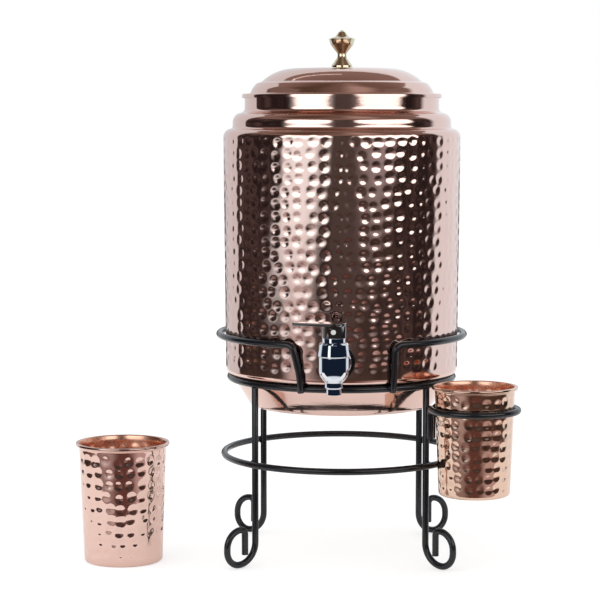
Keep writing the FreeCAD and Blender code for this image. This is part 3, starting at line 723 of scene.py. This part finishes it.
# %% Cup holder
held_low, held_high = low("tumbler_held"), high("tumbler_held")
held_axis = (held_low + held_high) / 2 * [1, 1, 0]
away = compass(support_ring_radius, legs["front_right"][0], 0) - held_axis
to_leg = math.atan2(away[1], away[0])
stem_foot = low("cup_holder")[2]
holder_height = high("cup_holder")[2] - wire_radius
ring_radius = (high("cup_holder")[0] - held_axis[0]) - wire_radius
stem_side = wire_radius + 0.2
lead = 12.0
corner_reach = math.hypot(ring_radius, lead)
stem_reach = math.sqrt(corner_reach**2 - stem_side**2)
ring_turn = math.asin(stem_side / corner_reach) + math.atan2(lead, ring_radius)
holder_stem = bent(
    [
        (stem_reach, stem_side, stem_foot, 0),
        (stem_reach, stem_side, holder_height, 6.0),
        (ring_radius * math.cos(ring_turn), ring_radius * math.sin(ring_turn), holder_height, 0),
    ]
)
loop = arc(np.array([0, 0, holder_height]), holder_stem[-1], full_turn - 2 * ring_turn, 4.0)
path = spin(np.vstack([holder_stem, loop[1:-1], holder_stem[::-1] * [1, -1, 1]]), to_leg) + held_axis
dress_wire("cup_holder", path)
print("holder ring radius", round(float(ring_radius), 2), "mm")

# %% [markdown]
# ## Weld beads
#
# Where wires cross, a small bead of weld fills the corner between them, under the same coat. Each is a
# flattened lump, a ball whose radius is pushed in and out by a few waves.


# %% Weld beads
def lump(centre, out, size, seed):
    """Rows of one bead, pole to pole: a ball whose radius is one plus a wave round and a wave up, scaled
    along the ring, outwards and upwards."""
    levels, columns = 9, 16
    lat = np.linspace(-math.pi / 2, math.pi / 2, levels)[1:-1, None]
    lon = (np.arange(columns) * full_turn / columns)[None]
    rough = 1 + 0.06 * np.sin(3 * lon + seed) * np.cos(2 * lat) + 0.05 * np.sin(5 * lat + 2 * lon + seed)
    flat = rough * np.cos(lat)
    ball = np.stack([flat * np.cos(lon), flat * np.sin(lon), rough * np.sin(lat)], 2)
    basis = np.stack([[-out[1], out[0], 0], out, [0, 0, 1]])
    return [centre + np.multiply(row, size) @ basis for row in ([[0, 0, -1]], *ball, [[0, 0, 1]])]


def weld(name, places):
    """All beads as one piece, from places of (centre, way outwards, half sizes)."""
    beads = [rows_mesh(lump(*place, 1.7 * i)) for i, place in enumerate(places)]
    points = np.vstack([bead[0] for bead in beads])
    quads, triangles = (np.vstack([b[part] + len(b[0]) * i for i, b in enumerate(beads)]) for part in (1, 2))
    dress(put_mesh(name, points, quads, triangles, 60), "stand", None, black_wire)


seam_radius = support_ring_radius + wire_radius
ring_welds = []
for angle, heading in legs.values():
    out = compass(1, angle, 0)
    ring_welds.append((out * support_ring_radius + [0, 0, leg_top], out, (3.6, 2.5, 1.5)))
    ring_welds.append((out * seam_radius + [0, 0, lower_ring_height], out, (3.4, 1.3, 3.4)))
for tip_angle in (left_tip, right_tip):
    out = compass(1, 180 - tip_angle, 0)
    ring_welds.append((out * seam_radius + [0, 0, support_ring_height], out, (3.4, 1.3, 3.2)))
leg_side = np.array([-math.sin(to_leg), math.cos(to_leg), 0])
leg_way = np.array([math.cos(to_leg), math.sin(to_leg), 0])
seam_inset = 2.2
for side in (-1, 1):
    seam = held_axis + leg_way * (stem_reach + seam_inset) + leg_side * side * seam_inset
    for z in (stem_foot + 4, holder_height - 10):
        ring_welds.append((seam + [0, 0, z], leg_side * side, (1.9, 1.0, 3.6)))
weld("weld_beads", ring_welds)

# %% [markdown]
# ## The tap
#
# The tap is chrome over brass. Its body is turned on an upright axis, with a plain round arm on a level one.
# Both are made as separate closed surfaces that meet inside the bulb, which is how the light sees them.

# %% Tap body
tap_z = (low("tap_outer_gasket")[2] + high("tap_outer_gasket")[2]) / 2
outlet = low("tap_body")[2]
bonnet_bottom = low("bonnet_nut")[2]
bead = tap_z - 15.4
bore = 4.2
chamber_floor = tap_z - 6.5
bulb = [
    (bore, outlet, 0),
    (5.9, outlet, 0.3),
    (5.9, bead, 0.6),
    (7.2, bead + 0.3, 1.2),
    (7.2, bead + 4.0, 1.2),
    (7.0, bead + 4.6, 0.3),
    (12.1, tap_z - 5.4, 12.0),
    (12.1, bonnet_bottom, 0.3),
    (9.55, bonnet_bottom, 0),
    (9.55, bonnet_bottom + 5.6, 0.3),
    (7.6, bonnet_bottom + 5.6, 0),
    (7.6, chamber_floor, 0),
    (bore, chamber_floor, 0),
]
tap_bulb = turned("tap_bulb", rounded(bulb, 5.0), centre=tap_axis, closed=True)
dress(tap_bulb, "vessel", "tap_body", bright_chrome)

# %% Tap arm
tap_distance = np.linalg.norm(tap_axis)
tap_out = tap_axis / tap_distance
wall_at_tap = tap_distance - 45.7
flange_back = wall_at_tap + 2.2
flange_front = flange_back + 3.0
shank_end = wall_at_tap - 16.0
arm_end = tap_distance - 8.2
arm = [
    (5.0, shank_end, 0),
    (7.9, shank_end, 0.6),
    (7.9, flange_back, 0),
    (12.5, flange_back, 0),
    (12.5, flange_front, 1.2),
    (7.6, flange_front, 2.5),
    (7.6, arm_end, 0),
    (5.0, arm_end, 0),
]
tap_arm = turned("tap_arm", rounded(arm, 6.0), centre=(0, 0, tap_z), axis=tap_out, closed=True)
dress(tap_arm, "vessel", "tap_body", bright_chrome)

# %% [markdown]
# ## Bonnet, collar and gasket
#
# The bonnet nut is a low round cap that closes the valve, and the bright collar on it is where the lever
# turns. The gasket is a rubber washer squeezed to the round wall, so its back is a saddle.

# %% Bonnet and collar
bonnet_top = high("bonnet_nut")[2]
collar_top = high("swivel_collar")[2]
bonnet = [
    (9.6, bonnet_bottom, 0),
    (12.0, bonnet_bottom, 0.3),
    (12.9, bonnet_bottom + 1.0, 0.3),
    (11.7, bonnet_top - 1.4, 0.6),
    (10.4, bonnet_top, 0.3),
    (4.0, bonnet_top, 0),
    (4.0, bonnet_top - 3.9, 0),
    (2.8, bonnet_top - 3.9, 0),
    (2.8, bonnet_top - 5.0, 0),
    (9.6, bonnet_top - 5.0, 0),
]
collar = [
    (2.65, bonnet_top - 2.2, 0),
    (3.9, bonnet_top - 2.2, 0.3),
    (3.9, bonnet_top + 0.15, 0),
    (9.5, bonnet_top + 0.15, 0.3),
    (9.5, collar_top, 0.6),
    (2.65, collar_top, 0),
]
for name, outline, body, node in (
    ("tap_bonnet", bonnet, "vessel", "bonnet_nut"),
    ("tap_collar", collar, "swivel", "swivel_collar"),
):
    piece = turned(name, rounded(outline), centre=tap_axis, closed=True)
    dress(piece, body, node, bright_chrome)

# %% Gasket
gasket_radius = 15.2
shank_radius = 7.95
tap_across = np.array([-tap_out[1], tap_out[0], 0])


def wall_radius(z):
    """Radius of the body's straight wall at a height."""
    return body_bottom_radius + (body_top_radius - body_bottom_radius) * (z - body_base) / body_height


def gasket_row(radius, depth=None):
    """A ring about the tap's level axis: flat, at its depth from the flange, or lying on the body's wall,
    where out = square root of (wall radius squared minus across squared)."""
    a = np.arange(96) * full_turn / 96
    across, up = radius * np.cos(a), tap_z + radius * np.sin(a)
    out = np.sqrt(wall_radius(up) ** 2 - across**2) + 0.02 if depth is None else flange_back + depth + 0 * up
    return across[:, None] * tap_across + out[:, None] * tap_out + up[:, None] * [0, 0, 1]


front = ((shank_radius, 0), (13.0, 0), (14.6, 0), (15.02, -0.18), (gasket_radius, -0.6))
gasket_rows = [gasket_row(*place) for place in front] + [gasket_row(gasket_radius), gasket_row(shank_radius)]
tap_gasket = stack_rows("tap_gasket", gasket_rows, closed=True)
dress(tap_gasket, "vessel", "tap_outer_gasket", black_rubber)

# %% [markdown]
# ## The lever
#
# The lever is one moulding: a thin teardrop blade on a square hub, which is slotted from below for the
# stem's eye and bored for the pin. Its flat sides need no finer mesh than the CAD has, so a copy of that mesh
# is used, its loose triangles joined and its normals weighted by area, which keeps the flats flat.


# %% Lever
def joined_copy(node, name, crease):
    """A copy of a CAD node's mesh with its doubled points joined, smooth up to the crease angle."""
    mesh = frame["nodes"][node].data.copy()
    mesh.name = name
    mesh.materials.clear()
    work = bmesh.new()
    work.from_mesh(mesh)
    bmesh.ops.remove_doubles(work, verts=work.verts, dist=1e-6)
    work.to_mesh(mesh)
    work.free()
    smooth(mesh, crease)
    piece = show(name, mesh)
    piece.modifiers.new("even_flats", "WEIGHTED_NORMAL").keep_sharp = True
    return piece


dress(joined_copy("lever", "lever_moulding", 32), "handle", "lever", black_plastic)

# %% Cross pin
pin_radius, pin_half = 2.0, 9.3
pin_height = low("lever")[2] + 4.6
pin = [(0, -pin_half, 0), (pin_radius, -pin_half, 0.3), (pin_radius, pin_half, 0.3), (0, pin_half, 0)]
cross_pin = turned("cross_pin", rounded(pin, 15), 48, tap_axis + [0, 0, pin_height], tap_out)
dress(cross_pin, "handle", "lever_pin", matt_steel)

# %% [markdown]
# ## The tumblers
#
# Two straight cups with a flared rim, hammered like the vessel, one a size smaller. Their wall is single, so
# every dent outside is a bump inside, and both show in the standing one.

# %% Tumblers
tumbler_wall = np.array([(0, 0, 0), (32.8, 0, 3.0), (36.5, 96.9, 0.8)])
tumbler_rim = 39.3
tumbler_height = 100.5
lip_height, lip_width, lip_corner = 2.6, 2.9, 1.1
free_axis = (low("tumbler_free") + high("tumbler_free")) / 2 * [1, 1, 0]


def mark_lining(piece, centre):
    """Gives the second material to the faces that look at a cup's own axis, or up from its bottom."""
    bottom_zone = 20
    count = len(piece.data.polygons)
    middles, normals = np.zeros(count * 3), np.zeros(count * 3)
    piece.data.polygons.foreach_get("center", middles)
    piece.data.polygons.foreach_get("normal", normals)
    away = middles.reshape(-1, 3) / MM - centre
    normals = normals.reshape(-1, 3)
    inward = (away[:, :2] * normals[:, :2]).sum(1) < -0.05 * np.linalg.norm(away[:, :2], axis=1)
    lining = inward | ((normals[:, 2] > 0.5) & (away[:, 2] < bottom_zone))
    piece.data.polygons.foreach_set("material_index", lining.astype(np.int32))


for node, body, place, scale, copper_outside, seed in (
    ("tumbler_held", "held_tumbler", held_axis + [0, 0, held_low[2]], 0.895, held_copper, 5),
    ("tumbler_free", "free_tumbler", free_axis, 1.0, free_copper, 8),
):
    wall = tumbler_wall * [scale, scale, 1]
    rim, top = tumbler_rim * scale, tumbler_height * scale
    lip = [(rim, top - lip_height, lip_corner), (rim, top, lip_corner), (rim - lip_width, top, lip_corner)]
    pitch_up, first, radius, depth = np.array([9.75, 10.5, 3.9, 0.66]) * scale
    marks = dict(columns=23, rows=9, pitch_up=pitch_up, radius=radius, depth=depth, faded=0.80, seed=seed)
    rings = hammered(np.vstack([wall, lip]), inner_face(wall), first, marks, lined=True)
    cup = stack_rows(node + "_copper", [r + place for r in rings], crease=60)
    mark_lining(cup, place)
    dress(cup, body, node, copper_outside)
    cup.data.materials.append(copper_lining)

# %% [markdown]
# ## Pieces that are hardly seen
#
# Washers, seals, the shank nut, the valve and its spring keep their CAD meshes and only get their finish.

# %% Finishes on the inner pieces
inner_finishes = (
    (black_rubber, ["tap_inner_gasket", "stem_seal", "seat_plug"]),
    (bright_steel, ["knob_washer", "knob_screw", "valve_stem", "valve_spring"]),
    (plain_brass, ["shank_nut"]),
)
for material, nodes in inner_finishes:
    for node in nodes:
        for slot in frame["nodes"][node].material_slots:
            slot.material = material
print("inner pieces finished")

# %% [markdown]
# ## The room
#
# A polished pot is a picture of the room it stands in, so the room is made with care. It is a drum 1.3 m
# round the object that only mirrors see: a white wall that wraps round the back and both sides, two oval soft
# boxes in front whose lower edges hang above the tap, a glow under them, the dark of the room between, and a
# brown ceiling with one strip light. A real drum and not a distant sky, because a low tumbler and a tall
# vessel see such near things at different heights.
#
# Each thing in the room is a product of soft steps, laid over the dark. Azimuth runs in degrees from the front
# towards +X, and z is the height in metres.


# %% The walls that mirrors see
def painted_walls(wires, azimuth, z, clutter):
    """Colour of the drum's side: bands of height, then the things in front of them. clutter is a soft noise."""
    maths, step, area, lay = wires.maths, wires.step, wires.area, wires.lay
    under_top = step(z, 1.1, 0.9)
    room = lay((0.022, 0.016, 0.016), (0.085, 0.060, 0.058), step(clutter, 0.35, 0.70))
    for colour, start, end in (
        ((0.065, 0.045, 0.035), 0.03, -0.05),
        ((0.13, 0.06, 0.052), -0.10, -0.15),
        ((0.22, 0.16, 0.14), 1.02, 1.10),
    ):
        room = lay(room, colour, step(z, start, end))

    def leaning(amount, start, end):
        """Azimuth that grows by an amount from one height to another, so that an edge in it leans."""
        return maths("ADD", azimuth, maths("MULTIPLY", step(z, start, end), amount))

    bulge = maths("MULTIPLY", step(z, 0.04, -0.08), -8.0)
    left_inner = step(maths("ADD", leaning(13.0, 0.36, 0.06), bulge), -6, -33)
    left_outer = step(leaning(20.0, 0.30, 0.08), -66, -46)
    right_sides = step(azimuth, 4, 34), step(leaning(24.0, 0.33, 0.05), 61, 35)
    gap = step(azimuth, -20, -5), step(azimuth, 24, 4), step(z, -0.08, 0.03)
    layers = (
        ((0.085, 0.068, 0.066), (*gap, under_top, step(clutter, 0.25, 0.50))),
        ((0.30, 0.22, 0.22), (step(azimuth, -110, -60), left_inner, step(z, -0.08, -0.16))),
        ((0.56, 0.50, 0.50), (step(azimuth, -62, -48), left_inner, step(z, -0.26, -0.06), under_top)),
        ((1.07, 1.18, 1.25), (left_outer, left_inner, under_top, step(z, 0.0, 0.24))),
        ((0.10, 0.075, 0.065), (*right_sides, under_top, step(z, -0.5, 0.0))),
        ((0.35, 0.33, 0.35), (*right_sides, under_top, step(z, 0.05, 0.33))),
        ((0.54, 0.42, 0.42), (step(azimuth, 8, 44), step(z, -0.13, -0.18))),
    )
    for colour, masks in layers:
        room = lay(room, colour, area(*masks))

    low_z, high_z = 0.35, 1.08
    up = maths("DIVIDE", maths("SUBTRACT", z, (low_z + high_z) / 2), (high_z - low_z) / 2)
    bow = maths("POWER", maths("ABSOLUTE", up), 8.0)
    for middle, half_width in ((-36.0, 24.0), (44.0, 31.0)):
        # A soft box with bowed sides: across squared plus up to the eighth is one at its edge.
        across = maths("DIVIDE", maths("SUBTRACT", azimuth, middle), half_width)
        edge = maths("ADD", maths("MULTIPLY", across, across), bow)
        room = lay(room, box_white, step(edge, 1.25, 0.75))

    room = lay(room, wall_left, step(leaning(26.0, -0.08, -0.16), -117, -120))
    room = lay(room, wall_right, step(leaning(12.0, 0.42, 0.0), 100, 111))
    aside = maths("ABSOLUTE", azimuth)
    behind = area(step(aside, 150, 160), step(aside, 178, 168), step(z, 0.36, 0.24))
    return lay(room, (0.16, 0.14, 0.14), behind)


# %% The ceiling that mirrors see
def painted_ceiling(wires, azimuth, x, y):
    """Colour of the drum's top: brown, paler to the back and the right, with a strip light and white behind."""
    step, area, lay = wires.step, wires.area, wires.lay
    slant = wires.maths("ADD", y, wires.maths("MULTIPLY", x, 0.23))
    right_glow = step(azimuth, -8, 24), step(azimuth, 62, 30), step(y, 0.0, -0.7)
    left_dusk = step(azimuth, -10, -50), step(azimuth, -130, -90), step(y, 0.1, -0.4)
    strip_across = step(slant, 0.525, 0.535), step(slant, 0.585, 0.575)
    strip_ends = step(x, -0.75, -0.70), step(x, 0.02, 0.0)
    brown = lay((0.18, 0.12, 0.10), (0.27, 0.19, 0.17), step(y, -0.2, 0.6))
    brown = lay(brown, (0.45, 0.34, 0.30), area(*right_glow))
    brown = lay(brown, (0.10, 0.065, 0.045), area(*left_dusk))
    brown = lay(brown, (1.3, 1.25, 1.2), area(*strip_across, *strip_ends))
    return lay(brown, wall_behind, step(y, 1.03, 1.06))


# %% [markdown]
# Chrome needs a dark thing close before it, or it looks like the white room. The drum finds where a mirror's
# ray started, its hit point plus the way back times the ray's length. Rays that left the tap get a painted
# reflection of their own, the picture that small cards set round it would give: dark blue in front, white at
# the sides and below, and two white strips. No cards stand there. This painted reflection shows in the tap
# alone, wherever the camera stands.


# %% The painted reflection in the tap
def tap_painted_reflection(wires):
    """Colour and mask of a painted reflection that only the chrome tap shows. The ray's start has to lie within
    a small upright drum about the tap's axis. The ray's way gives its heading, in degrees from the front, and
    its rise."""
    make, maths, step, area, lay = wires.make, wires.maths, wires.step, wires.area, wires.lay
    geometry = make("NewGeometry")
    length = make("LightPath")["Ray Length"]
    back = make("VectorMath", {0: geometry["Incoming"], "Scale": length}, operation="SCALE")[0]
    start = make("VectorMath", {0: geometry["Position"], 1: back}, operation="ADD")[0]
    start_x, start_y, height = make("SeparateXYZ", {0: start})
    way_x, way_y, way_z = make("SeparateXYZ", {0: geometry["Incoming"]})
    heading = maths("DEGREES", maths("ARCTAN2", maths("MULTIPLY", way_x, -1.0), way_y))
    rise = maths("DEGREES", maths("ARCSINE", maths("MULTIPLY", way_z, -1.0)))
    away = [maths("SUBTRACT", place, middle * MM) for place, middle in zip((start_x, start_y), tap_axis)]
    away = maths("ADD", *[maths("MULTIPLY", a, a) for a in away])
    at_tap = area(step(away, 0.021**2, 0.020**2), step(height, 0.150, 0.152), step(height, 0.200, 0.199))
    dark = area(step(maths("ABSOLUTE", heading), 110, 98), step(rise, -50, -38))
    strip = area(step(heading, -46, -42), step(heading, -24, -28), step(height, 0.1835, 0.1845))
    above = area(step(heading, -36, -30), step(heading, 30, 24), step(rise, 34, 40), step(rise, 66, 60))
    # Painted reflection for the tap: dark blue in front, white at the sides and below, and two white strips.
    painted_reflection = lay((0.80, 0.83, 0.87), (0.008, 0.014, 0.028), dark)
    painted_reflection = lay(painted_reflection, (1.4, 1.4, 1.4), strip)
    return lay(painted_reflection, (0.85, 0.90, 0.95), above), at_tap


# %% The drum
drum_radius, drum_floor, drum_ceiling = 1.3, -1.2, 1.6
box_white = (2.0, 2.0, 2.0)
wall_left, wall_right, wall_behind = (0.73, 0.76, 0.80), (0.88, 0.94, 1.00), (0.80, 0.83, 0.86)


def room_material():
    """Emission of the walls, the ceiling above them, and a painted reflection for rays from the tap."""
    material = bpy.data.materials.new("room_glow")
    wires = Wiring(material)
    wires.nodes.clear()
    place = wires.make("TexCoord")["Object"]
    x, y, z = wires.make("SeparateXYZ", {0: place})
    azimuth = wires.maths("DEGREES", wires.maths("ARCTAN2", x, wires.maths("MULTIPLY", y, -1.0)))
    walls = painted_walls(wires, azimuth, z, wires.noise(3.0, 3.0, place))
    overhead = wires.step(z, drum_ceiling - 0.02, drum_ceiling - 0.01)
    room = wires.lay(walls, painted_ceiling(wires, azimuth, x, y), overhead)
    # The painted reflection that only rays from the tap see is laid over the room.
    glow = wires.make("Emission", {"Color": wires.lay(room, *tap_painted_reflection(wires))})[0]
    wires.make("OutputMaterial", {"Surface": glow})
    return material


drum_outline = [(drum_radius, z) for z in (drum_floor, drum_ceiling - 0.03, drum_ceiling)]
drum_outline = [(0, drum_floor), *drum_outline, (0, drum_ceiling)]
drum = turned("room_drum", np.array(drum_outline) / MM, crease=60)
drum.data.materials.append(room_material())
drum.visible_camera = False
drum.visible_diffuse = False
drum.visible_shadow = False
drum.visible_volume_scatter = False
drum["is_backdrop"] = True
print("drum built")

# %% [markdown]
# The world outside the drum is plain white. It lights everything matt evenly, and it is the white ground of
# the picture.


# %% World
def build_world():
    """White for the camera and for mirrors, a little less for light."""
    world = bpy.data.worlds.new("studio")
    bpy.context.scene.world = world
    wires = Wiring(world)
    wires.nodes.clear()
    soft, paper = (wires.make("Background", {"Color": (1, 1, 1), "Strength": s})[0] for s in (0.9, 1.0))
    path = wires.make("LightPath")
    shiny = wires.maths("MAXIMUM", path["Is Glossy Ray"], path["Is Transmission Ray"])
    seen = wires.maths("MAXIMUM", path["Is Camera Ray"], shiny)
    wires.make("OutputWorld", {"Surface": wires.either(seen, soft, paper)})


build_world()
print("world white")

# %% [markdown]
# The floor is a wide matt sheet. To the camera it is lifted to the white of the background and still keeps
# the shadow. To a mirror it ends at the table's front edge, and there the dark of the room begins: that
# edge is the dark wedge seen low on the tumblers.

# %% Floor
table_front = -0.22
table_half_width = 0.60


def floor_material():
    """A matt white shader, lifted for camera rays, with a gleam for mirror rays and clear to them past the
    table's edges."""
    material = bpy.data.materials.new("white_table")
    wires = Wiring(material)
    wires.nodes.clear()
    make, maths = wires.make, wires.maths
    matt, pale = (make("BsdfDiffuse", {"Color": (grey, grey, grey)})[0] for grey in (0.86, 0.50))
    lift, gleam = (make("Emission", {"Strength": strength})[0] for strength in (0.64, 0.18))
    path = make("LightPath")
    x, y = make("SeparateXYZ", {0: make("TexCoord")["Object"]})[:2]
    beside = maths("GREATER_THAN", maths("ABSOLUTE", x), table_half_width)
    off_table = maths("MAXIMUM", maths("LESS_THAN", y, table_front), beside)
    shiny = maths("MAXIMUM", path["Is Glossy Ray"], path["Is Transmission Ray"])
    mirrored = make("AddShader", {0: matt, 1: gleam})[0]
    lifted = make("AddShader", {0: pale, 1: lift})[0]
    sheet = wires.either(path["Is Camera Ray"], wires.either(shiny, matt, mirrored), lifted)
    sheet = wires.either(wires.area(off_table, shiny), sheet, make("BsdfTransparent")[0])
    make("OutputMaterial", {"Surface": sheet})
    return material


half = 4.0
floor_mesh = bpy.data.meshes.new("floor")
floor_corners = [(-half, -half, 0), (half, -half, 0), (half, half, 0), (-half, half, 0)]
floor_mesh.from_pydata(floor_corners, [], [(0, 1, 2, 3)])
floor_mesh.materials.append(floor_material())
show("floor", floor_mesh)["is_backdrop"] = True
print("floor laid")

# %% [markdown]
# ## Light and camera
#
# The world gives nearly all the light. One large soft lamp from the upper left firms up the contact shadow,
# and mirrors don't see it. The camera stands level with the lid, a long lens 1.7 m away, five degrees down.

# %% Lamp and camera
lamp_data = bpy.data.lights.new("soft_lamp", "AREA")
lamp_data.size = 1.4
lamp_data.energy = 6.0
lamp = show("soft_lamp", lamp_data)
lamp.location = (-0.9, -0.9, 1.8)
lamp.rotation_euler = (math.radians(38), 0, math.radians(-45))
lamp.visible_glossy = False
lamp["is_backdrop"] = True

camera_data = bpy.data.cameras.new("camera")
camera_data.lens = 123
camera_data.sensor_width = 36
camera = show("camera", camera_data)
camera.location = (-0.03537, -1.7403, 0.3736)
camera.rotation_euler = (math.radians(90 - 5.17), 0, 0)
bpy.context.scene.camera = camera
bpy.context.scene.view_settings.view_transform = "Standard"

# %% Sizes, and the end
boxes = {"cad": [list(map(float, c)) for c in cad_box], "visual": [list(map(float, c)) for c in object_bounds()]}
print("cad", boxes["cad"], "visual", boxes["visual"])
